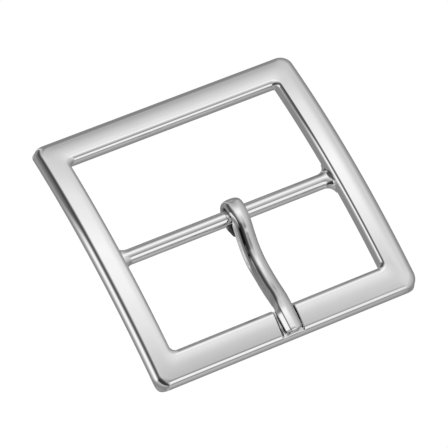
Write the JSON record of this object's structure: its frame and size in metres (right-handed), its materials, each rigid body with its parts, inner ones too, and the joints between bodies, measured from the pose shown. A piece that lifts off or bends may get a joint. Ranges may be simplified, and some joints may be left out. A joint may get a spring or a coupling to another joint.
{
  "type": "centre-bar belt buckle",
  "caption": "Square arched belt buckle of polished nickel: plain rounded rails, a cast centre bar, and a loose tongue whose tip rests in a notch in one end rail.",
  "frame": {"origin": "middle of the buckle's plan, on the plane that the feet of its two end rails stand on", "axes": "+X along the centre bar, -Y towards the notched end rail where the tongue's tip lies, +Z out of the polished front"},
  "size_m": [0.0502, 0.0501, 0.0062],
  "materials": {
    "frame_nickel": "mirror-polished nickel plate",
    "tongue_nickel": "polished nickel plate, a little softer than the frame's"
  },
  "bodies": {
    "frame": {"frame": "frame_nickel"},
    "tongue": {"tongue": "tongue_nickel"}
  },
  "joints": [
    {"name": "tongue_hinge", "type": "hinge", "parent": "frame", "child": "tongue", "pos_m": [0.00179, -0.00063, 0.00305], "axis": [-1, 0, 0], "range_deg": [0, 168]}
  ]
}
